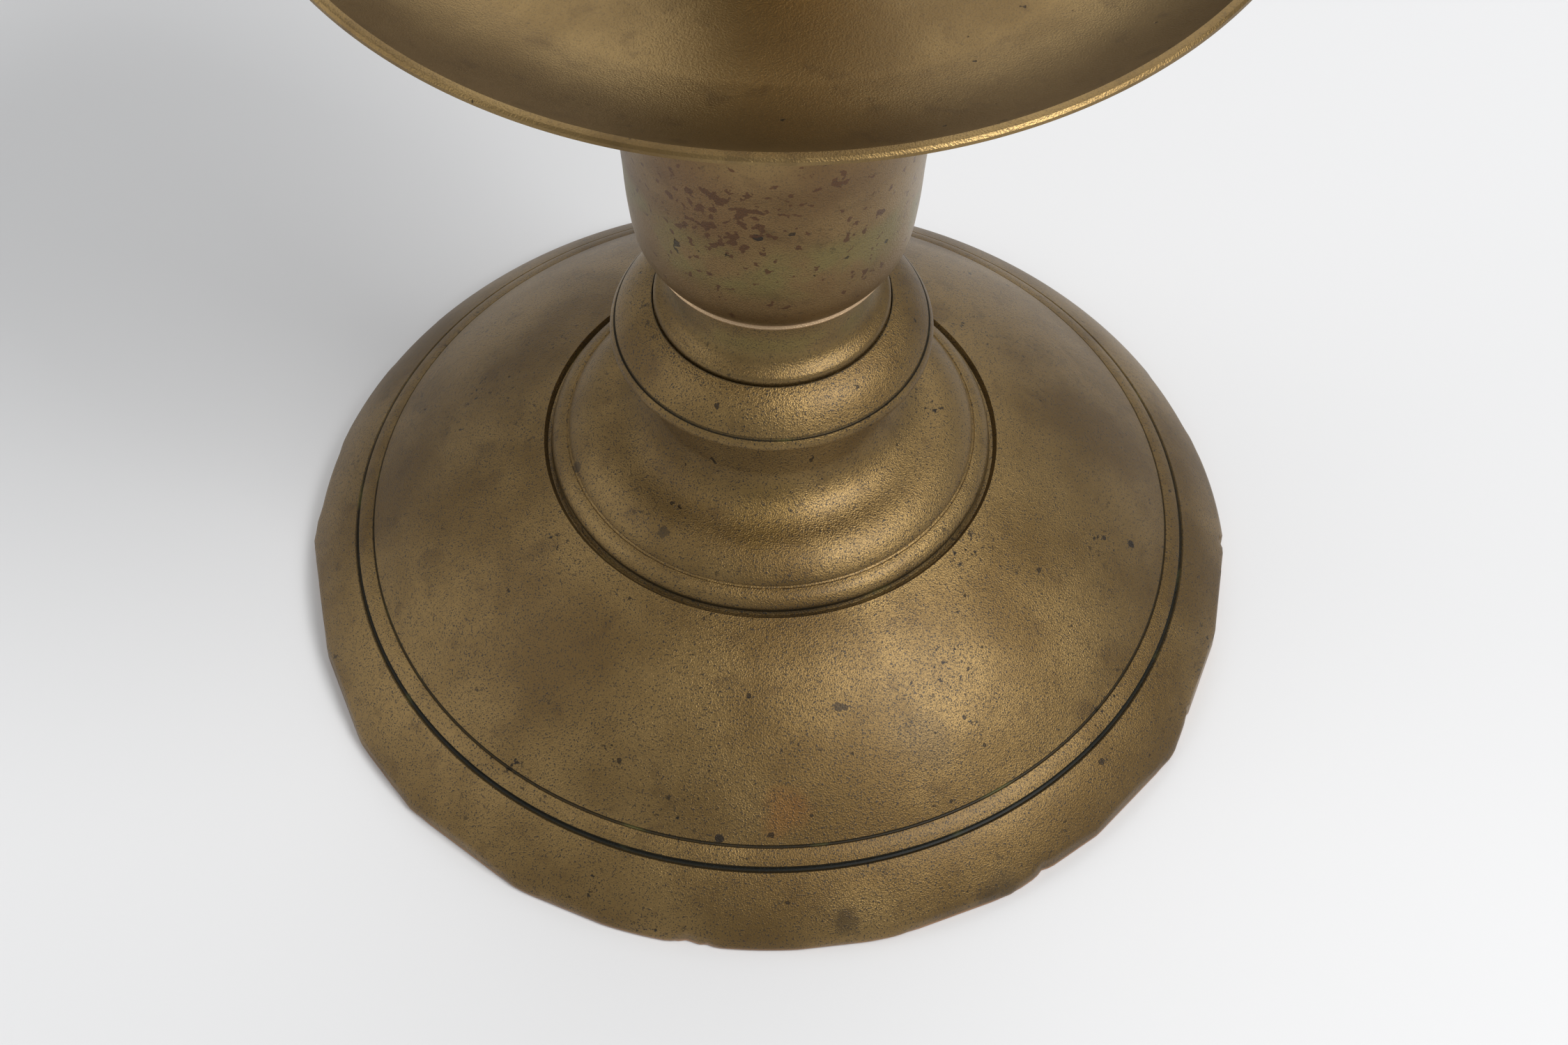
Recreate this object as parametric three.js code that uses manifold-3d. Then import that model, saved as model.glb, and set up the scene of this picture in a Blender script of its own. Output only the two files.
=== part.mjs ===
import * as THREE from 'three';
import { mergeVertices } from 'three/addons/utils/BufferGeometryUtils.js';
import Module from 'manifold-3d';

// An old brass candlestick with a domed foot, a knop, a wide drip pan and a candle socket.
// It stands on z = 0 with its axis on +Z. Sizes are millimetres, written as radius and height.
// Every piece but the socket is threaded on one iron rod, and a nut under the foot draws them up.

const wasm = await Module();
wasm.setup();

// Fits
const SEAT_GAP = 0.3;
const ROD_CLEARANCE = 0.3;

// Tie rod, washer and nut
const ROD_RADIUS = 4;
const ROD_TAIL = 4;
const ROD_GRIP_IN_STEM = 34;
const BORE_RADIUS = ROD_RADIUS + ROD_CLEARANCE;
const WASHER_RADIUS = 13;
const WASHER_THICKNESS = 1.6;
const NUT_ACROSS_FLATS = 17;
const NUT_HEIGHT = 7.5;

// Foot
const FOOT_RADIUS = 80;
const FOOT_WALL = 3;
const RIM_FACE_WIDTH = 3.8;
const RIM_EDGE_HEIGHT = 1.6;
const LOWER_GROOVE = { radius: 71.2, height: 10.6, width: 1.1, depth: 0.6, slope: 45 };
const DOME_GROOVE = { radius: 68.2, height: 12.7, width: 0.6, depth: 0.35, slope: 45 };
const CROWN_GROOVE = { radius: 37.2, height: 33.4, width: 1.8, depth: 1.4, slope: 24 };
const SHOULDER_LINE = { radius: 33.8, height: 35.9, width: 0.6, depth: 0.25, slope: 30 };
const DOME_RISE = 1.9;
const SWEEP_START = { radius: 26.5, height: 40.3 };
const FOOT_NECK_RADIUS = 19.5;
const FOOT_NECK_START = 47.5;
const FOOT_NECK_END = 59.2;
const FOOT_CEILING = 44;

// Collar disc at the top of the foot
const DISC_RADIUS = 25.95;
const DISC_LOWER_EDGE = 61.1;
const DISC_UPPER_EDGE = 61.9;
const DISC_GROOVE = { radius: 24.4, height: 64.5, width: 0.7, depth: 0.35, slope: 50 };
const DISC_TOP_RADIUS = 19.1;
const DISC_TOP = 68.5;
const DISC_SEAT_RADIUS = 18.9;
const DISC_SEAT = 68;

// Neck collar between the foot and the knop
const NECK_BASE_RADIUS = 18.6;
const NECK_STEP_RADIUS = 18;
const NECK_STEP_HEIGHT = 2;
const NECK_WAIST_RADIUS = 16;
const NECK_WAIST_HEIGHT = 5.4;
const NECK_TOP_RADIUS = 15.6;
const NECK_HEIGHT = 13.2;

// Knop, which carries the pan
const KNOP_EDGE_RADIUS = 18.44;
const KNOP_EDGE_HEIGHT = 0.3;
const KNOP_BODY = [[21.3, 5.1], [22.4, 12.2], [23, 21.4], [23.8, 31], [24.2, 40], [21.4, 52], [14.4, 62]];
const KNOP_THROAT_RADIUS = 9.6;
const KNOP_THROAT_HEIGHT = 67.5;
const KNOP_RING_BASE = 68.3;
const KNOP_RING_TOP = 73.7;
const KNOP_RING_RADIUS = 12.8;
const KNOP_SEAT_RADIUS = 13.6;
const KNOP_HEIGHT = 81.4;

// Drip pan
const PAN_RADIUS = 73.8;
const PAN_DEPTH = 13.4;
const PAN_SHEET = 1.7;
const PAN_FLOOR_RADIUS = 50;

// Upper stem
const STEM_HEIGHT = 80;
const STEM_FLANGE_RADIUS = 17;
const STEM_LOWER_RADIUS = 13.5;
const STEM_UPPER_RADIUS = 12.4;
const STEM_RING_RADIUS = 15.4;
const STEM_TOP_RADIUS = 10;

// Candle socket
const SOCKET_HEIGHT = 54;
const SOCKET_RADIUS = 13.9;
const SOCKET_BORE_RADIUS = 11.4;
const SOCKET_BORE_DEPTH = 42;
const SOCKET_LIP_RADIUS = 18;
const SOCKET_LIP_THICKNESS = 2.2;
const SOCKET_BASE_RADIUS = 9.8;
const TENON_RADIUS = 5;
const TENON_LENGTH = 12;
const WINDOW_WIDTH = 7;
const WINDOW_HEIGHT = 13;

// Heights of the seats, each worked out from the piece below
const neckBase = DISC_SEAT + SEAT_GAP;
const knopBase = neckBase + NECK_HEIGHT + SEAT_GAP;
const panBase = knopBase + KNOP_HEIGHT + SEAT_GAP;
const stemBase = panBase + PAN_SHEET + SEAT_GAP;
const socketBase = stemBase + STEM_HEIGHT + SEAT_GAP;
const washerTop = FOOT_CEILING - SEAT_GAP;
const nutTop = washerTop - WASHER_THICKNESS - SEAT_GAP;
const rodBottom = nutTop - NUT_HEIGHT - ROD_TAIL;
const rodTop = stemBase + ROD_GRIP_IN_STEM;

// Points of an arc after `from` up to `to`. A positive rise bows it to the left of the way it runs.
function arc(from, to, rise, steps) {
  const [r0, z0] = from;
  const [r1, z1] = to;
  const chord = Math.hypot(r1 - r0, z1 - z0);
  const points = [];
  for (let i = 1; i <= steps; i += 1) {
    const t = i / steps;
    const lift = 4 * rise * t * (1 - t);
    points.push([
      r0 + (r1 - r0) * t - (lift * (z1 - z0)) / chord,
      z0 + (z1 - z0) * t + (lift * (r1 - r0)) / chord,
    ]);
  }
  return points;
}

// Three points of a V groove cut square to a surface that climbs inwards at `slope` degrees.
function groove({ radius, height, width, depth, slope }) {
  const angle = THREE.MathUtils.degToRad(slope);
  const along = [-Math.cos(angle) * width / 2, Math.sin(angle) * width / 2];
  const inward = [-Math.sin(angle) * depth, -Math.cos(angle) * depth];
  return [
    [radius - along[0], height - along[1]],
    [radius + inward[0], height + inward[1]],
    [radius + along[0], height + along[1]],
  ];
}

// A smooth line through a few points, for outlines that are no single arc.
function spline(points, steps) {
  const curve = new THREE.SplineCurve(points.map(([r, z]) => new THREE.Vector2(r, z)));
  return curve.getPoints(steps).map((point) => [point.x, point.y]);
}

function signedVolume(geometry) {
  const position = geometry.attributes.position;
  const index = geometry.index;
  const a = new THREE.Vector3();
  const b = new THREE.Vector3();
  const c = new THREE.Vector3();
  let sum = 0;
  for (let i = 0; i < index.count; i += 3) {
    a.fromBufferAttribute(position, index.getX(i));
    b.fromBufferAttribute(position, index.getX(i + 1));
    c.fromBufferAttribute(position, index.getX(i + 2));
    sum += a.dot(b.cross(c)) / 6;
  }
  return sum;
}

function toManifold(source) {
  const geometry = source.clone();
  geometry.deleteAttribute('normal');
  geometry.deleteAttribute('uv');
  const merged = mergeVertices(geometry, 1e-4);
  const index = merged.index.array;
  const triangles = [];
  for (let i = 0; i < index.length; i += 3) {
    const [a, b, c] = [index[i], index[i + 1], index[i + 2]];
    if (a !== b && b !== c && c !== a) {
      triangles.push(a, b, c);
    }
  }
  merged.setIndex(triangles);
  if (signedVolume(merged) < 0) {
    for (let i = 0; i < triangles.length; i += 3) {
      [triangles[i], triangles[i + 1]] = [triangles[i + 1], triangles[i]];
    }
  }
  return new wasm.Manifold(new wasm.Mesh({
    numProp: 3,
    vertProperties: Float32Array.from(merged.attributes.position.array),
    triVerts: Uint32Array.from(triangles),
  }));
}

// Turns an outline of [radius, height] points about +Z.
function turned(outline, segments) {
  const points = outline.map(([r, z]) => new THREE.Vector2(r, z));
  const lathe = new THREE.LatheGeometry(points, segments);
  lathe.rotateX(Math.PI / 2);
  return toManifold(lathe);
}

// Turns an outline that closes on itself round the rod's bore.
function turnedRing(outline, segments) {
  return turned([...outline, outline[0]], segments);
}

function mesh(name, solid, material) {
  const result = solid.getMesh();
  const geometry = new THREE.BufferGeometry();
  geometry.setAttribute('position', new THREE.BufferAttribute(result.vertProperties, 3));
  geometry.setIndex(new THREE.BufferAttribute(result.triVerts, 1));
  geometry.computeVertexNormals();
  const piece = new THREE.Mesh(geometry, material);
  piece.name = name;
  return piece;
}

function brass(color, roughness) {
  return new THREE.MeshStandardMaterial({ color, roughness, metalness: 0.9 });
}

function iron() {
  return new THREE.MeshStandardMaterial({ color: 0x3f3a36, roughness: 0.7, metalness: 0.8 });
}

// The foot is one hollow casting: rim, bead, dome, crown, neck and the collar disc.
// Its inside follows its outside at the wall's thickness up to a flat ceiling, where the nut pulls.
function foot() {
  const wallShift = FOOT_WALL * Math.SQRT1_2;
  const lower = groove(LOWER_GROOVE);
  const dome = groove(DOME_GROOVE);
  const crown = groove(CROWN_GROOVE);
  const shoulder = groove(SHOULDER_LINE);
  const disc = groove(DISC_GROOVE);
  const rim = [FOOT_RADIUS, RIM_EDGE_HEIGHT];
  const sweep = [SWEEP_START.radius, SWEEP_START.height];
  const neck = [FOOT_NECK_RADIUS, FOOT_NECK_START];
  const discEdge = [DISC_RADIUS, DISC_UPPER_EDGE];
  const innerDomeTop = [CROWN_GROOVE.radius - FOOT_WALL / 2, CROWN_GROOVE.height - FOOT_WALL - 0.6];
  const innerDomeFoot = [DOME_GROOVE.radius - wallShift, DOME_GROOVE.height - wallShift];
  const outline = [
    [FOOT_RADIUS - RIM_FACE_WIDTH, 0],
    [FOOT_RADIUS, 0],
    rim,
    ...arc(rim, lower[0], -0.6, 3),
    lower[1],
    lower[2],
    ...arc(lower[2], dome[0], -0.12, 2),
    dome[1],
    dome[2],
    ...arc(dome[2], crown[0], -DOME_RISE, 7),
    crown[1],
    crown[2],
    ...arc(crown[2], shoulder[0], -0.35, 2),
    shoulder[1],
    shoulder[2],
    ...arc(shoulder[2], sweep, -0.8, 3),
    ...arc(sweep, neck, 1.6, 4),
    [FOOT_NECK_RADIUS, FOOT_NECK_END],
    [DISC_RADIUS - 0.6, DISC_LOWER_EDGE - 0.3],
    [DISC_RADIUS, DISC_LOWER_EDGE],
    discEdge,
    ...arc(discEdge, disc[0], -0.2, 2),
    disc[1],
    disc[2],
    ...arc(disc[2], [DISC_TOP_RADIUS, DISC_TOP], -0.5, 3),
    [DISC_SEAT_RADIUS, DISC_SEAT],
    [BORE_RADIUS, DISC_SEAT],
    [BORE_RADIUS, FOOT_CEILING],
    [FOOT_NECK_RADIUS - FOOT_WALL - 1, FOOT_CEILING],
    [SWEEP_START.radius - FOOT_WALL, SWEEP_START.height - FOOT_WALL],
    innerDomeTop,
    ...arc(innerDomeTop, innerDomeFoot, DOME_RISE, 5),
  ];
  return turnedRing(outline, 48);
}

// The neck collar is a turned spool with a stepped base and a hollow waist.
function neckCollar() {
  const step = [NECK_STEP_RADIUS, neckBase + NECK_STEP_HEIGHT];
  const waist = [NECK_WAIST_RADIUS, neckBase + NECK_WAIST_HEIGHT];
  const top = [NECK_TOP_RADIUS, neckBase + NECK_HEIGHT];
  return turnedRing([
    [BORE_RADIUS, neckBase],
    [NECK_BASE_RADIUS, neckBase],
    ...arc([NECK_BASE_RADIUS, neckBase], step, -0.4, 3),
    ...arc(step, waist, 0.5, 4),
    ...arc(waist, top, 0.15, 3),
    [BORE_RADIUS, neckBase + NECK_HEIGHT],
  ], 32);
}

// The knop is a vase on a sharp lower edge, then a throat, a ring and a flare that seats the pan.
function knop() {
  const body = spline([
    [KNOP_EDGE_RADIUS, knopBase + KNOP_EDGE_HEIGHT],
    ...KNOP_BODY.map(([r, z]) => [r, knopBase + z]),
    [KNOP_THROAT_RADIUS, knopBase + KNOP_THROAT_HEIGHT],
  ], 22);
  const ringBase = [KNOP_THROAT_RADIUS, knopBase + KNOP_RING_BASE];
  const ringTop = [KNOP_THROAT_RADIUS, knopBase + KNOP_RING_TOP];
  return turnedRing([
    [BORE_RADIUS, knopBase],
    [KNOP_EDGE_RADIUS - 0.8, knopBase],
    ...body,
    ringBase,
    ...arc(ringBase, ringTop, KNOP_THROAT_RADIUS - KNOP_RING_RADIUS, 5),
    ...arc(ringTop, [KNOP_SEAT_RADIUS, knopBase + KNOP_HEIGHT - 1.4], 0.9, 3),
    [KNOP_SEAT_RADIUS, knopBase + KNOP_HEIGHT],
    [BORE_RADIUS, knopBase + KNOP_HEIGHT],
  ], 36);
}

// The pan is a flat-bottomed dish of one sheet thickness with a blunt lip.
function dripPan() {
  const floorTop = panBase + PAN_SHEET;
  const rimTop = panBase + PAN_DEPTH;
  const outerFloor = [PAN_FLOOR_RADIUS, panBase];
  const outerRim = [PAN_RADIUS, rimTop - 0.8];
  const innerRim = [PAN_RADIUS - PAN_SHEET, rimTop];
  return turnedRing([
    [BORE_RADIUS, panBase],
    outerFloor,
    ...arc(outerFloor, outerRim, -2.2, 5),
    [PAN_RADIUS - 0.3, rimTop],
    innerRim,
    ...arc(innerRim, [PAN_FLOOR_RADIUS - 0.5, floorTop], 2.2, 5),
    [BORE_RADIUS, floorTop],
  ], 48);
}

// The upper stem is a slightly tapered column between ring mouldings.
// The rod ends in a blind hole from below, and the socket's tenon in one from above.
function upperStem() {
  const top = stemBase + STEM_HEIGHT;
  const foldRadius = STEM_LOWER_RADIUS + 0.4;
  const lowRing = [foldRadius, stemBase + 8.5];
  const lowRingEnd = [STEM_LOWER_RADIUS, stemBase + 12];
  const highRing = [STEM_UPPER_RADIUS, stemBase + 66];
  const highRingEnd = [STEM_UPPER_RADIUS - 0.6, stemBase + 70.5];
  return turned([
    [0, rodTop + SEAT_GAP],
    [BORE_RADIUS, rodTop + SEAT_GAP],
    [BORE_RADIUS, stemBase],
    [STEM_FLANGE_RADIUS, stemBase],
    [STEM_FLANGE_RADIUS, stemBase + 1.8],
    ...arc([STEM_FLANGE_RADIUS, stemBase + 1.8], lowRing, 1.1, 4),
    ...arc(lowRing, lowRingEnd, foldRadius - STEM_RING_RADIUS, 4),
    highRing,
    ...arc(highRing, highRingEnd, STEM_UPPER_RADIUS - STEM_RING_RADIUS, 4),
    ...arc(highRingEnd, [STEM_TOP_RADIUS, top], 0.9, 4),
    [TENON_RADIUS + ROD_CLEARANCE, top],
    [TENON_RADIUS + ROD_CLEARANCE, top - TENON_LENGTH - SEAT_GAP],
    [0, top - TENON_LENGTH - SEAT_GAP],
  ], 32);
}

// The socket is a plain cup with a lip and two windows for pushing out a candle's stub.
function candleSocket() {
  const top = socketBase + SOCKET_HEIGHT;
  const floor = top - SOCKET_BORE_DEPTH;
  const cupFoot = [SOCKET_RADIUS, floor];
  const lipUnder = [SOCKET_LIP_RADIUS, top - SOCKET_LIP_THICKNESS];
  const cup = turned([
    [0, socketBase - TENON_LENGTH],
    [TENON_RADIUS, socketBase - TENON_LENGTH],
    [TENON_RADIUS, socketBase],
    [SOCKET_BASE_RADIUS, socketBase],
    ...arc([SOCKET_BASE_RADIUS, socketBase], [SOCKET_BASE_RADIUS, socketBase + 4], -1.6, 3),
    ...arc([SOCKET_BASE_RADIUS, socketBase + 4], cupFoot, -1.2, 4),
    [SOCKET_RADIUS, lipUnder[1] - 4],
    ...arc([SOCKET_RADIUS, lipUnder[1] - 4], lipUnder, 0.9, 3),
    [SOCKET_LIP_RADIUS, top],
    [SOCKET_BORE_RADIUS, top],
    [SOCKET_BORE_RADIUS, floor],
    [0, floor],
  ], 32);
  const halfWidth = WINDOW_WIDTH / 2;
  const head = new THREE.Shape();
  head.moveTo(-halfWidth, 0);
  head.lineTo(halfWidth, 0);
  head.lineTo(halfWidth, WINDOW_HEIGHT - halfWidth);
  head.absarc(0, WINDOW_HEIGHT - halfWidth, halfWidth, 0, Math.PI, false);
  const length = 2 * SOCKET_LIP_RADIUS;
  const cutter = new THREE.ExtrudeGeometry(head, {
    depth: length,
    bevelEnabled: false,
    curveSegments: 8,
  });
  cutter.rotateX(Math.PI / 2);
  cutter.translate(0, length / 2, floor + 6);
  return cup.subtract(toManifold(cutter));
}

function tieRod() {
  return turned([
    [0, rodBottom],
    [ROD_RADIUS - 0.7, rodBottom],
    [ROD_RADIUS, rodBottom + 0.7],
    [ROD_RADIUS, rodTop],
    [0, rodTop],
  ], 24);
}

function washer() {
  return turnedRing([
    [BORE_RADIUS, washerTop - WASHER_THICKNESS],
    [WASHER_RADIUS, washerTop - WASHER_THICKNESS],
    [WASHER_RADIUS, washerTop],
    [BORE_RADIUS, washerTop],
  ], 32);
}

// The nut is square, with its lower corners dressed off by a cone.
function nut() {
  const half = NUT_ACROSS_FLATS / 2;
  const corner = half * Math.SQRT2;
  const block = new THREE.BoxGeometry(NUT_ACROSS_FLATS, NUT_ACROSS_FLATS, NUT_HEIGHT);
  block.translate(0, 0, nutTop - NUT_HEIGHT / 2);
  const dressing = turnedRing([
    [BORE_RADIUS, nutTop - NUT_HEIGHT],
    [half, nutTop - NUT_HEIGHT],
    [corner, nutTop - NUT_HEIGHT + 2],
    [corner, nutTop],
    [BORE_RADIUS, nutTop],
  ], 32);
  return toManifold(block).intersect(dressing);
}

const candlestick = new THREE.Group();
candlestick.name = 'candlestick';
candlestick.add(mesh('foot', foot(), brass(0x8a6d45, 0.45)));
candlestick.add(mesh('neck_collar', neckCollar(), brass(0x5f4c30, 0.5)));
candlestick.add(mesh('knop', knop(), brass(0x7b6a44, 0.35)));
candlestick.add(mesh('drip_pan', dripPan(), brass(0x8f734c, 0.35)));
candlestick.add(mesh('upper_stem', upperStem(), brass(0x86693f, 0.4)));
candlestick.add(mesh('candle_socket', candleSocket(), brass(0x86693f, 0.4)));
candlestick.add(mesh('tie_rod', tieRod(), iron()));
candlestick.add(mesh('washer', washer(), iron()));
candlestick.add(mesh('nut', nut(), iron()));

export default candlestick;
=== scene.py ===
import math

import bmesh
import bpy
from mathutils import Matrix, Vector


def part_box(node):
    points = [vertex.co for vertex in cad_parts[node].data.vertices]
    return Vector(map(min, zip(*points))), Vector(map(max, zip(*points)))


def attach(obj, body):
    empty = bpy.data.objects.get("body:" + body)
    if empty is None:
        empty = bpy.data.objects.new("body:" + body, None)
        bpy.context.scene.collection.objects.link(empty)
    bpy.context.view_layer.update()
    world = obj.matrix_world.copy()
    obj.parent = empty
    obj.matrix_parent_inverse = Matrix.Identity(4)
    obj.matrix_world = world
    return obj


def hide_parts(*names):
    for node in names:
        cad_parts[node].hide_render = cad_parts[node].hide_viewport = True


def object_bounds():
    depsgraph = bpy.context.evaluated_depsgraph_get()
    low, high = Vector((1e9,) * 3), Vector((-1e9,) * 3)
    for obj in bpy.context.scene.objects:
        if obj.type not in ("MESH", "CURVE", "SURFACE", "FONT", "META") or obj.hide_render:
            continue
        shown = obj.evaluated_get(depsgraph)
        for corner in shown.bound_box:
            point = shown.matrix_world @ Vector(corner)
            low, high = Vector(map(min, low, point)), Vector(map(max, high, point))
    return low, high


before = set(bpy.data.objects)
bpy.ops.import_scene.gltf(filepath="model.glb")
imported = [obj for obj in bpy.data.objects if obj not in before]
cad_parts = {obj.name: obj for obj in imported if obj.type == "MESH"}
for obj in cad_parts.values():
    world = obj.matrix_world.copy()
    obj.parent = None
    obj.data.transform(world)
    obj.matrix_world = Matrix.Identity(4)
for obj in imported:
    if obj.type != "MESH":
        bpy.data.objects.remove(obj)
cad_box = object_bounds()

MM = 0.001


def bow(start, end, rise, steps):
    """Points after start up to end, on a shallow arc that bows to the left of its way by rise."""
    run = end[0] - start[0]
    climb = end[1] - start[1]
    chord = math.hypot(run, climb)
    points = []
    for step in range(1, steps + 1):
        share = step / steps
        lift = 4 * rise * share * (1 - share)
        points.append((
            start[0] + run * share - lift * climb / chord,
            start[1] + climb * share + lift * run / chord,
        ))
    return points


def turned_line(radius, height, width, depth, slope):
    """Five points of a round-bottomed line cut into a surface that climbs inwards at slope degrees."""
    angle = math.radians(slope)
    points = []
    for share, sink in ((-0.5, 0), (-0.3, 0.8), (0, 1), (0.3, 0.8), (0.5, 0)):
        points.append((
            radius - share * width * math.cos(angle) - sink * depth * math.sin(angle),
            height + share * width * math.sin(angle) - sink * depth * math.cos(angle),
        ))
    return points


def turned(name, outline, sides, reach=None):
    """A closed body turned about the upright axis. reach gives the most radius at an angle."""
    points = []
    rings = []
    for radius, height in outline:
        if radius == 0:
            rings.append([len(points)] * sides)
            points.append((0, 0, height * MM))
            continue
        rings.append(list(range(len(points), len(points) + sides)))
        for side in range(sides):
            angle = 2 * math.pi * side / sides
            far = radius if reach is None else min(radius, reach(angle))
            points.append((far * MM * math.cos(angle), far * MM * math.sin(angle), height * MM))
    closed = outline[0][0] != 0
    following = rings[1:] + rings[:1] if closed else rings[1:]
    faces = []
    for lower, upper in zip(rings, following):
        for side in range(sides):
            after = (side + 1) % sides
            corners = (lower[side], lower[after], upper[after], upper[side])
            faces.append(list(dict.fromkeys(corners)))
    mesh = bpy.data.meshes.new(name)
    mesh.from_pydata(points, [], faces)
    work = bmesh.new()
    work.from_mesh(mesh)
    bmesh.ops.recalc_face_normals(work, faces=work.faces)
    work.to_mesh(mesh)
    work.free()
    return link_piece(name, mesh)


def link_piece(name, mesh):
    """Puts a mesh in the scene, smooth but for its sharp edges."""
    mesh.shade_smooth()
    mesh.set_sharp_from_angle(angle=math.radians(38))
    piece = bpy.data.objects.new(name, mesh)
    bpy.context.scene.collection.objects.link(piece)
    return piece


class Wire:
    """A socket of a material. It takes part in sums, and node() feeds it to any other node."""

    def __init__(self, tree, socket):
        self.tree = tree
        self.socket = socket

    def node(self, kind, settings, inputs, output=0):
        made = self.tree.nodes.new("ShaderNode" + kind)
        for name, value in settings.items():
            setattr(made, name, value)
        for name, value in inputs.items():
            if isinstance(value, Wire):
                self.tree.links.new(value.socket, made.inputs[name])
            else:
                made.inputs[name].default_value = value
        return Wire(self.tree, made.outputs[output] if made.outputs else None)

    def math(self, operation, *values):
        return self.node("Math", {"operation": operation}, dict(enumerate(values)))

    def __add__(self, other):
        return self.math("ADD", self, other)

    __radd__ = __add__

    def __sub__(self, other):
        return self.math("SUBTRACT", self, other)

    def __rsub__(self, other):
        return self.math("SUBTRACT", other, self)

    def __mul__(self, other):
        return self.math("MULTIPLY", self, other)

    __rmul__ = __mul__

    def __truediv__(self, other):
        return self.math("DIVIDE", self, other)

    def __pow__(self, other):
        return self.math("POWER", self, other)

    def rise(self, low, high):
        """0 below low and 1 above high, with a soft step between."""
        settings = {"interpolation_type": "SMOOTHSTEP"}
        return self.node("MapRange", settings, {"Value": self, "From Min": low, "From Max": high})

    def cloud(self, grain_mm, detail=4.0, offset=(0, 0, 0)):
        """Noise with grains of about grain_mm at this place."""
        moved = self.node("VectorMath", {"operation": "ADD"}, {0: self, 1: offset})
        inputs = {"Vector": moved, "Scale": 1 / (grain_mm * MM), "Detail": detail}
        return moved.node("TexNoise", {}, inputs)

    def over(self, below, above):
        """above where this mask is 1, below where it is 0."""
        return self.node("Mix", {"data_type": "RGBA"}, {0: self, 6: below, 7: above}, output=2)


def near_ring(radius, height, ring_radius, ring_height, reach):
    """A mask that is 1 on a turned line and 0 at reach millimetres from it."""
    across = (radius - ring_radius * MM) ** 2.0 + (height - ring_height * MM) ** 2.0
    return 1 - (across ** 0.5).rise(0.35 * reach * MM, reach * MM)


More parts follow.
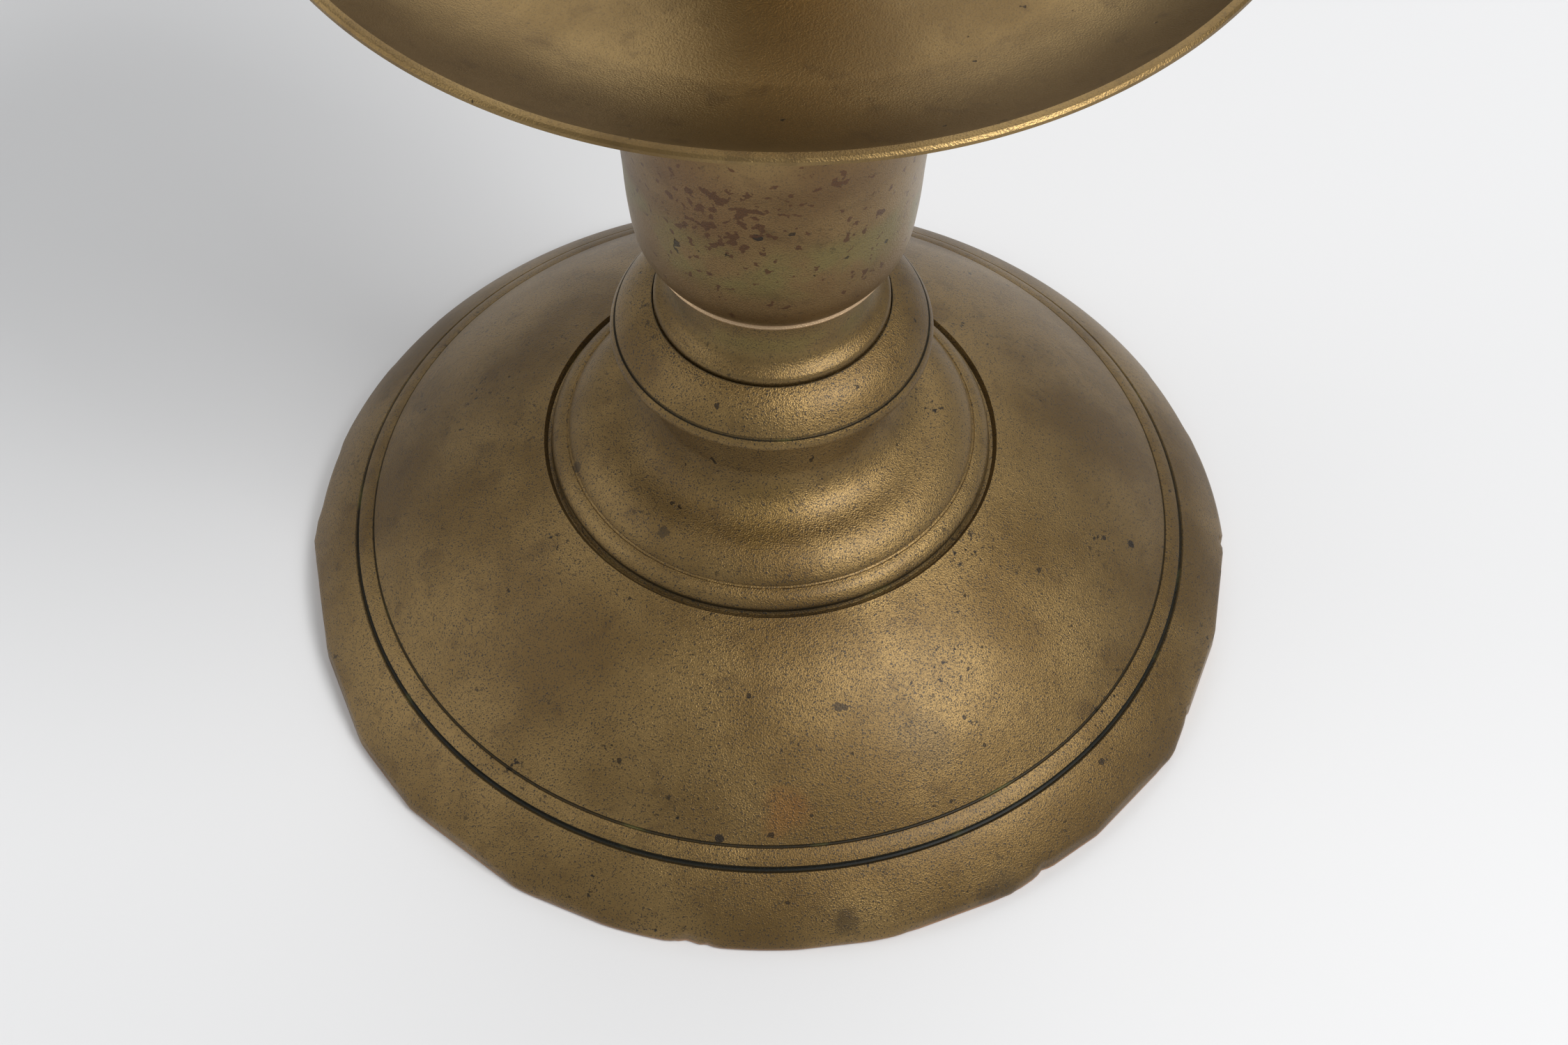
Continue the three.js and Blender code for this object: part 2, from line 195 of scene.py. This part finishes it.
def brass(name, brown, gold, rough, sandy, lines=(), patina=None, bare_edge=None, marks=(),
          etched=None):
    """Old brass. sandy is how grainy its skin is, lines are (radius, height, reach) of dirty turned
    lines, with painted shade in them where they lie under an overhang, patina is (colour, lowest,
    highest) of a corroded band, and marks are (x, y, z, reach, colour, strength) of single spots and
    stains. etched is (x, y, z, reach, colour) of a place where the skin is eaten in small winding
    spots."""
    material = bpy.data.materials.new(name)
    material.use_nodes = True
    tree = material.node_tree
    tree.nodes.clear()
    place = Wire(tree, None).node("TexCoord", {}, {}, output=3)
    parts = place.node("SeparateXYZ", {}, {0: place}).socket.node.outputs
    across = Wire(tree, parts[0])
    along = Wire(tree, parts[1])
    height = Wire(tree, parts[2])
    radius = (across * across + along * along) ** 0.5

    def away_from(x, y, z):
        """The distance from a spot whose place is given in millimetres."""
        flat = (across - x * MM) ** 2.0 + (along - y * MM) ** 2.0
        return (flat + (height - z * MM) ** 2.0) ** 0.5

    black_brown = (0.03, 0.021, 0.012, 1)
    tarnish = place.cloud(24, 5.0).rise(0.34, 0.68)
    colour = tarnish.over(gold, brown)
    blotches = place.cloud(5, 6.0, (0.3, 0.1, 0)).rise(0.56, 0.74) * 0.4
    colour = blotches.over(colour, (0.085, 0.05, 0.02, 1))
    rough_here = rough + 0.08 * tarnish
    grain = place.cloud(0.26, 2.0)
    specks = grain.rise(0.55, 0.66) * sandy
    crowded = place.cloud(11, 3.0, (0.5, 0.5, 0.1)).rise(0.5, 0.7)
    dust = place.cloud(0.9, 3.0, (0.9, 0, 0)).rise(0.60, 0.68) * crowded * sandy
    if patina is not None:
        bloom, lowest, highest = patina
        band = height.rise((lowest - 3) * MM, (lowest + 2) * MM)
        band = band * (1 - height.rise((highest - 2) * MM, (highest + 3) * MM))
        green = band * place.cloud(9, 4.0, (0.7, 0, 0.2)).rise(0.36, 0.6) * 0.8
        colour = green.over(colour, bloom)
    for x, y, z, reach, stain, strength in marks:
        ragged = place.cloud(max(reach, 1.5), 4.0, (x, y, 0)) * reach * MM - 0.5 * reach * MM
        off = away_from(x, y, z) + ragged
        sharpness = 0.85 if reach < 2 else 0.4
        spot = (1 - off.rise(sharpness * reach * MM, reach * MM)) * strength
        colour = spot.over(colour, stain)
    if etched is not None:
        x, y, z, reach, burnt = etched
        eaten = (1 - away_from(x, y, z).rise(0.4 * reach * MM, reach * MM)) * 0.11
        worms = (place.cloud(1.7, 2.0, (0.4, 0.2, 0.6)) + eaten).rise(0.64, 0.67)
        colour = (worms * 0.85).over(colour, burnt)
    colour = specks.over(colour, black_brown)
    colour = dust.over(colour, (0.022, 0.017, 0.012, 1))
    pits = place.cloud(2.6, 2.0, (0.2, 0.5, 0)).rise(0.745, 0.765) * 0.8
    colour = pits.over(colour, (0.02, 0.015, 0.011, 1))
    # Dirt and green rust in turned lines; under an overhang this dark is also painted shade.
    for ring_radius, ring_height, reach in lines:
        dirt_and_shade = near_ring(radius, height, ring_radius, ring_height, reach)
        mouldy = place.cloud(9, 3.0, (0.1, 0.1, 0.9)).rise(0.58, 0.75) * 0.6
        black_dirt_and_shade = (0.012, 0.015, 0.013, 1)
        green_rust = (0.16, 0.17, 0.055, 1)
        residue_and_shade = mouldy.over(black_dirt_and_shade, green_rust)
        colour = dirt_and_shade.over(colour, residue_and_shade)
        rough_here = rough_here + 0.35 * dirt_and_shade
    if bare_edge is not None:
        edge_radius, edge_height, edge_colour = bare_edge
        low = 1 - height.rise((edge_height - 0.5) * MM, (edge_height + 0.6) * MM)
        bare = low * radius.rise((edge_radius - 3) * MM, (edge_radius - 1.5) * MM)
        colour = bare.over(colour, edge_colour)
    relief = grain + place.cloud(1.3, 3.0) * 0.5 - pits * 2
    normal = relief.node("Bump", {}, {
        "Strength": 0.25 + 0.75 * sandy, "Distance": 0.13 * MM, "Height": relief})
    surface = relief.node("BsdfPrincipled", {}, {
        "Base Color": colour,
        "Metallic": 0.94 - 0.4 * specks,
        "Roughness": rough_here,
        "Normal": normal,
        "Coat Weight": 0.18,
        "Coat Roughness": 0.38,
    })
    surface.node("OutputMaterial", {}, {0: surface})
    return material


foot_radius = 80
rim_face = 3.8
bore = 4.3

# Flats worn into the edge, as the angle of the middle and the depth in millimetres
edge_flats = (
    (171, 1.0), (191, 1.6), (202, 1.3), (216, 0.5), (231, 0.8), (246, 0.3), (278, 0.2), (293, 0.7),
    (308, 0.9), (319, 0.9), (340, 1.5), (351, 1.3), (24, 0.9), (60, 0.7), (92, 0.9), (118, 0.6),
    (146, 0.8),
)
# Nicks out of the edge, as angle, half width in degrees and depth
edge_nicks = ((1, 0.9, 1.2), (261, 2.2, 0.9), (263.5, 0.8, 0.7), (334, 0.7, 0.5), (305, 1.2, 0.5))


def worn_edge(angle):
    """The foot's radius at an angle, after long wear."""
    reach = foot_radius
    for middle, depth in edge_flats:
        off = math.cos(angle - math.radians(middle))
        faces_the_flat = off > 0.8
        if faces_the_flat:
            reach = min(reach, (foot_radius - depth) / off)
    for middle, half_width, depth in edge_nicks:
        away = abs((math.degrees(angle) - middle + 180) % 360 - 180)
        if away < half_width:
            reach -= depth * (1 - away / half_width)
    return reach


neck_radius = 19.5
crown_top = (26.5, 40.3)
disc_edge = (25.9, 61.9)
seat_height = 68
ceiling = 44
hollow_crown = (35.7, 29.8)
hollow_rim = (66.1, 10.6)
lower_line = turned_line(71.2, 10.6, 1.1, 0.6, 45)
dome_line = turned_line(68.2, 12.7, 0.6, 0.35, 45)
crown_line = turned_line(37.2, 33.4, 1.5, 1.2, 24)
shoulder_line = turned_line(33.8, 35.9, 0.6, 0.2, 30)
disc_line = turned_line(25.2, 63.1, 0.6, 0.3, 58)
foot_outline = [
    (foot_radius - rim_face, 0),
    (foot_radius - 0.4, 0),
    (foot_radius, 0.3),
    (foot_radius, 1.2),
    *bow((foot_radius, 1.6), lower_line[0], -0.6, 14),
    *lower_line[1:],
    *bow(lower_line[-1], dome_line[0], -0.12, 5),
    *dome_line[1:],
    *bow(dome_line[-1], crown_line[0], -1.9, 26),
    *crown_line[1:],
    *bow(crown_line[-1], shoulder_line[0], -0.35, 5),
    *shoulder_line[1:],
    *bow(shoulder_line[-1], crown_top, -0.8, 8),
    *bow(crown_top, (neck_radius, 47.5), 1.6, 12),
    (neck_radius, 58.8),
    (neck_radius + 0.4, 59.2),
    (25.4, 60.8),
    (disc_edge[0], 61.1),
    (disc_edge[0] + 0.05, 61.5),
    disc_edge,
    *bow(disc_edge, disc_line[0], -0.05, 3),
    *disc_line[1:],
    *bow(disc_line[-1], (19.1, 68.5), -0.6, 10),
    (18.9, seat_height),
    (bore, seat_height),
    (bore, ceiling),
    (15.5, ceiling),
    (23.5, 37.3),
    hollow_crown,
    *bow(hollow_crown, hollow_rim, 1.9, 12),
]
foot = turned("foot_casting", foot_outline, 432, worn_edge)
rust = (0.21, 0.085, 0.022, 1)
soot = (0.03, 0.023, 0.017, 1)
stain_brown = (0.20, 0.125, 0.035, 1)
foot.data.materials.append(brass(
    "foot_brass",
    brown=(0.142, 0.086, 0.028, 1),
    gold=(0.243, 0.157, 0.058, 1),
    rough=0.40,
    sandy=1.0,
    lines=(
        (71.0, 10.4, 0.7),
        (68.1, 12.6, 0.36),
        (36.9, 33.0, 0.85),
        (25.2, 63.0, 0.35),
        (19.0, 68.3, 0.35),
    ),
    bare_edge=(foot_radius, 0.3, (0.50, 0.29, 0.17, 1)),
    marks=(
        (2.8, -63.3, 16, 5.0, rust, 0.42),
        (60.9, -11.2, 18, 0.9, soot, 0.95),
        (56.3, -12.8, 22, 0.45, soot, 0.9),
        (55.5, -10.8, 22, 0.35, soot, 0.9),
        (-7.5, -67.1, 13.5, 0.75, soot, 0.95),
        (11.2, -50.0, 26, 0.9, soot, 0.75),
        (12.4, -50.2, 26, 0.5, soot, 0.75),
        (-16.9, -24.8, 38, 1.4, soot, 0.6),
        (-31.6, -10.0, 36, 1.1, soot, 0.6),
        (-22.8, -16.9, 39, 0.7, soot, 0.7),
        (25.4, -52.3, 20, 6.5, soot, 0.3),
        (38.0, -70.0, 1, 5.5, soot, 0.4),
        (13.1, -76.5, 4, 3.0, soot, 0.5),
        (-25.6, 26.4, 33, 1.4, soot, 0.6),
        (0, -24, 42, 8.0, stain_brown, 0.45),
    ),
))
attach(foot, "root")
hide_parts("foot")

# The neck collar is a turned brass ring that stands on the disc and carries the knop.
# Its foot flares to a soft step, a greenish patina shows above the flare, and its top is darkened by
# soot and by painted shade under the knop's overhang.
neck_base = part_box("neck_collar")[0].z / MM
neck_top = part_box("neck_collar")[1].z / MM
neck_flare = (18.8, neck_base + 0.3)
neck_step = (18, neck_base + 2)
neck_waist = (16, neck_base + 5.4)
neck_top_radius = 15.6
neck = turned("neck_spool", [
    (bore, neck_base),
    (18.7, neck_base),
    neck_flare,
    *bow(neck_flare, neck_step, -0.4, 6),
    *bow(neck_step, neck_waist, 0.5, 9),
    *bow(neck_waist, (neck_top_radius, neck_top), 0.15, 7),
    (bore, neck_top),
], 192)
neck.data.materials.append(brass(
    "neck_brass",
    brown=(0.128, 0.078, 0.026, 1),
    gold=(0.215, 0.14, 0.052, 1),
    rough=0.40,
    sandy=0.7,
    # A dark band at the top of the neck, under the knop: painted shade together with soot.
    lines=((neck_top_radius, 81.5, 2.2),),
    patina=((0.20, 0.160, 0.05, 1), 74, 75),
))
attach(neck, "root")
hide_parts("neck_collar")

# The knop is a smooth cast brass vase, with a thin, bright bead at its foot and a flared seat for
# the pan. Its skin is glossier than the foot's, with a greenish patina and brown etched spots.
knop_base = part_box("knop")[0].z / MM
knop_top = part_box("knop")[1].z / MM
knop_throat = 9.6
pan_seat = 13.6
knop_marks = (
    (18.44, 0.3), (21.3, 5.1), (22.4, 12.2), (23, 21.4), (23.8, 31), (24.2, 40),
    (21.4, 52), (14.4, 62), (knop_throat, 67.5),
)


def smooth_through(marks, steps):
    """A smooth line through a few marks, with steps points between each two."""
    line = []
    for index in range(len(marks) - 1):
        before = marks[max(index - 1, 0)]
        here = marks[index]
        after = marks[index + 1]
        beyond = marks[min(index + 2, len(marks) - 1)]
        for step in range(steps):
            t = step / steps
            line.append(tuple(
                0.5 * (2 * here[k] + (after[k] - before[k]) * t
                       + (2 * before[k] - 5 * here[k] + 4 * after[k] - beyond[k]) * t ** 2
                       + (3 * here[k] - before[k] - 3 * after[k] + beyond[k]) * t ** 3)
                for k in (0, 1)
            ))
    return [*line, marks[-1]]


knop_body = [(r, knop_base + z) for r, z in smooth_through(knop_marks, 8)]
points_under_bead = 2
knop_bead = [
    (18.5, knop_base),
    (19, knop_base + 0.2),
    (19.1, knop_base + 0.5),
    (18.85, knop_base + 0.9),
]
ring_low = (knop_throat, knop_base + 68.3)
ring_high = (knop_throat, knop_base + 73.7)
knop = turned("knop_vase", [
    (bore, knop_base),
    *knop_bead,
    *knop_body[points_under_bead:],
    ring_low,
    *bow(ring_low, ring_high, -3.2, 14),
    *bow(ring_high, (pan_seat, knop_top - 1.4), 0.9, 9),
    (pan_seat, knop_top),
    (bore, knop_top),
], 224)
knop.data.materials.append(brass(
    "knop_brass",
    brown=(0.165, 0.096, 0.038, 1),
    gold=(0.25, 0.162, 0.064, 1),
    rough=0.35,
    sandy=0.4,
    patina=((0.205, 0.165, 0.058, 1), 94, 104),
    bare_edge=(20.4, 82.8, (0.60, 0.42, 0.25, 1)),
    marks=(
        (-8, -21, 113, 12, (0.17, 0.088, 0.036, 1), 0.45),
        (-2.2, -22.9, 107.6, 0.9, soot, 0.95),
        (1.5, -22.8, 112, 0.4, soot, 0.8),
    ),
    etched=(-8, -21, 110, 10, (0.10, 0.045, 0.02, 1)),
))
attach(knop, "root")
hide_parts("knop")

# The drip pan is a raised brass dish, held between the knop and the upper stem.
# Its skin is smoother than the foot's, and its lip is blunt, with its corners rounded.
pan_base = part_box("drip_pan")[0].z / MM
pan_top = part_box("drip_pan")[1].z / MM
pan_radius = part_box("drip_pan")[1].x / MM
pan_sheet = 1.7
pan_floor_radius = 49.5
pan = turned("drip_pan_dish", [
    (bore, pan_base),
    (pan_floor_radius, pan_base),
    *bow((pan_floor_radius + 0.5, pan_base), (pan_radius, pan_top - 0.9), -2.2, 24),
    (pan_radius - 0.05, pan_top - 0.4),
    (pan_radius - 0.4, pan_top - 0.05),
    (pan_radius - 0.9, pan_top),
    (pan_radius - 1.4, pan_top - 0.05),
    *bow((pan_radius - pan_sheet, pan_top - 0.3), (pan_floor_radius, pan_base + pan_sheet), 2.2, 24),
    (bore, pan_base + pan_sheet),
], 384)
pan.data.materials.append(brass(
    "pan_brass",
    brown=(0.160, 0.100, 0.035, 1),
    gold=(0.245, 0.162, 0.062, 1),
    rough=0.33,
    sandy=0.25,
))
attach(pan, "root")
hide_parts("drip_pan")

# The upper stem is a turned column between two ring mouldings, screwed down on the rod.
# The frame of the photograph ends below it, so its finish is the pan's.
stem_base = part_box("upper_stem")[0].z / MM
stem_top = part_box("upper_stem")[1].z / MM
rod_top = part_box("tie_rod")[1].z / MM
tenon_hole = 5.3
tenon_depth = 12.3
stem_foot_radius = 17
stem_ring = (13.9, stem_base + 8.5)
stem_shaft_foot = (13.5, stem_base + 12)
stem_shaft_head = (12.4, stem_base + 66)
stem_collar = (11.8, stem_base + 70.5)
stem = turned("stem_column", [
    (0, rod_top + 0.3),
    (bore, rod_top + 0.3),
    (bore, stem_base),
    (stem_foot_radius, stem_base),
    (stem_foot_radius, stem_base + 1.8),
    *bow((stem_foot_radius, stem_base + 1.8), stem_ring, 1.1, 12),
    *bow(stem_ring, stem_shaft_foot, -1.5, 10),
    stem_shaft_head,
    *bow(stem_shaft_head, stem_collar, -3, 14),
    *bow(stem_collar, (10, stem_top), 0.9, 10),
    (tenon_hole, stem_top),
    (tenon_hole, stem_top - tenon_depth),
    (0, stem_top - tenon_depth),
], 160)
stem_brass = brass(
    "stem_brass",
    brown=(0.160, 0.099, 0.034, 1),
    gold=(0.245, 0.160, 0.060, 1),
    rough=0.33,
    sandy=0.3,
)
stem.data.materials.append(stem_brass)
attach(stem, "root")
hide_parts("upper_stem")

# The candle socket is a lipped brass cup on a tenon, which screws into the stem.
# Two round-headed windows go through its wall, for pushing out a candle's stub.
socket_base = stem_top + 0.3
socket_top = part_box("candle_socket")[1].z / MM
socket_floor = socket_top - 42
tenon_radius = 5
cup_waist = 9.8
cup_radius = 13.9
lip_radius = 18
candle_bore = 11.4
lip_edge = 0.4
socket = turned("candle_cup", [
    (0, socket_base - 12),
    (tenon_radius, socket_base - 12),
    (tenon_radius, socket_base),
    (cup_waist, socket_base),
    *bow((cup_waist, socket_base), (cup_waist, socket_base + 4), -1.6, 10),
    *bow((cup_waist, socket_base + 4), (cup_radius, socket_floor), -1.2, 12),
    (cup_radius, socket_top - 6.2),
    *bow((cup_radius, socket_top - 6.2), (lip_radius, socket_top - 2.2), 0.9, 8),
    (lip_radius, socket_top - lip_edge),
    (lip_radius - lip_edge, socket_top),
    (candle_bore + lip_edge, socket_top),
    (candle_bore, socket_top - lip_edge),
    (candle_bore, socket_floor),
    (0, socket_floor),
], 160)
window_half = 3.5
window_height = 13
window_base = socket_floor + 6
window = [(-window_half, 0), (window_half, 0)]
arch_height = window_height - window_half
arch_steps = 16
for turn in range(arch_steps + 1):
    head = math.pi * turn / arch_steps
    window.append((window_half * math.cos(head), arch_height + window_half * math.sin(head)))
past_the_wall = 30
front = [(x * MM, -past_the_wall * MM, (window_base + z) * MM) for x, z in window]
back = [(x, -y, z) for x, y, z in front]
count = len(window)
window_faces = [list(range(count)), list(range(2 * count - 1, count - 1, -1))]
for corner in range(count):
    after = (corner + 1) % count
    window_faces.append([after, corner, count + corner, count + after])
punch_mesh = bpy.data.meshes.new("window_punch")
punch_mesh.from_pydata(front + back, [], window_faces)
punch = link_piece("window_punch", punch_mesh)
cut = socket.modifiers.new("windows", "BOOLEAN")
cut.operation = "DIFFERENCE"
cut.solver = "EXACT"
cut.object = punch
punched = socket.evaluated_get(bpy.context.evaluated_depsgraph_get())
socket.data = bpy.data.meshes.new_from_object(punched)
socket.modifiers.clear()
bpy.data.objects.remove(punch)
socket.data.materials.clear()
socket.data.materials.append(stem_brass)
socket.data.shade_smooth()
socket.data.set_sharp_from_angle(angle=math.radians(38))
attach(socket, "root")
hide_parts("candle_socket")

# The rod, its washer and its square nut are iron, under the foot, and draw the pieces together.
iron = bpy.data.materials.new("forged_iron")
iron.use_nodes = True
iron.node_tree.nodes.clear()
iron_place = Wire(iron.node_tree, None).node("TexCoord", {}, {}, output=3)
rusted = iron_place.cloud(3, 5.0).rise(0.45, 0.65)
iron_colour = rusted.over((0.075, 0.07, 0.066, 1), (0.16, 0.07, 0.032, 1))
iron_relief = iron_place.cloud(1, 4.0)
iron_normal = iron_relief.node(
    "Bump", {}, {"Strength": 0.5, "Distance": 0.0004, "Height": iron_relief})
iron_surface = rusted.node("BsdfPrincipled", {}, {
    "Base Color": iron_colour,
    "Metallic": 1 - 0.7 * rusted,
    "Roughness": 0.5 + 0.3 * rusted,
    "Normal": iron_normal,
})
iron_surface.node("OutputMaterial", {}, {0: iron_surface})
for name in ("tie_rod", "washer", "nut"):
    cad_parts[name].data.materials.clear()
    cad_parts[name].data.materials.append(iron)

# The floor is a wide pale sheet just under the foot.
floor_reach = 6
floor_mesh = bpy.data.meshes.new("floor")
floor_mesh.from_pydata(
    [(-floor_reach, -floor_reach, 0), (floor_reach, -floor_reach, 0),
     (floor_reach, floor_reach, 0), (-floor_reach, floor_reach, 0)],
    [], [(0, 1, 2, 3)],
)
floor = link_piece("floor", floor_mesh)
floor.location.z = -0.2 * MM
paper = bpy.data.materials.new("pale_paper")
paper.use_nodes = True
paper_surface = paper.node_tree.nodes["Principled BSDF"]
paper_surface.inputs["Base Color"].default_value = (0.74, 0.74, 0.745, 1)
paper_surface.inputs["Roughness"].default_value = 0.7
floor.data.materials.append(paper)

# The room is dim and grey, with a softbox at the right front, a fill at the left and one behind.
world = bpy.data.worlds.new("studio")
world.use_nodes = True
world.node_tree.nodes["Background"].inputs["Color"].default_value = (0.97, 0.985, 1, 1)
world.node_tree.nodes["Background"].inputs["Strength"].default_value = 0.42
bpy.context.scene.world = world


def softbox(name, place, width, power):
    """A square lamp that faces the middle of the candlestick."""
    lamp = bpy.data.lights.new(name, "AREA")
    lamp.size = width
    lamp.energy = power
    box = bpy.data.objects.new(name, lamp)
    box.location = place
    aim = candlestick_middle - box.location
    box.rotation_mode = "QUATERNION"
    box.rotation_quaternion = aim.to_track_quat("-Z", "Y")
    bpy.context.scene.collection.objects.link(box)


candlestick_middle = (cad_box[0] + cad_box[1]) / 2
softbox("key", (0.62, -0.42, 0.98), 0.5, 11.0)
softbox("fill", (-1.1, -0.1, 0.8), 0.9, 3.6)
softbox("back", (0.2, 1.1, 1.2), 1.2, 6.0)

# The camera stands where the photograph was taken from, found from the rings of the foot.
unit_mm = 71.2
camera_back = 4.598 * unit_mm * MM
camera_up = 6.240 * unit_mm * MM
yaw = math.radians(0.44)
pitch = math.radians(53.10)
roll = math.radians(1.00)

ahead = Vector((
    math.sin(yaw) * math.cos(pitch),
    math.cos(yaw) * math.cos(pitch),
    -math.sin(pitch),
))
level = Vector((math.cos(yaw), -math.sin(yaw), 0))
upright = level.cross(ahead)
sideways = math.cos(roll) * level + math.sin(roll) * upright
upwards = math.cos(roll) * upright - math.sin(roll) * level
lens = bpy.data.cameras.new("camera")
lens.sensor_width = 36
lens.lens = 72
lens.clip_start = 0.01
lens.clip_end = 50
camera = bpy.data.objects.new("camera", lens)
turn_matrix = Matrix((sideways, upwards, -ahead)).transposed()
camera.matrix_world = Matrix.Translation((0, -camera_back, camera_up)) @ turn_matrix.to_4x4()
bpy.context.scene.collection.objects.link(camera)
bpy.context.scene.camera = camera
bpy.context.scene.view_settings.view_transform = "Standard"
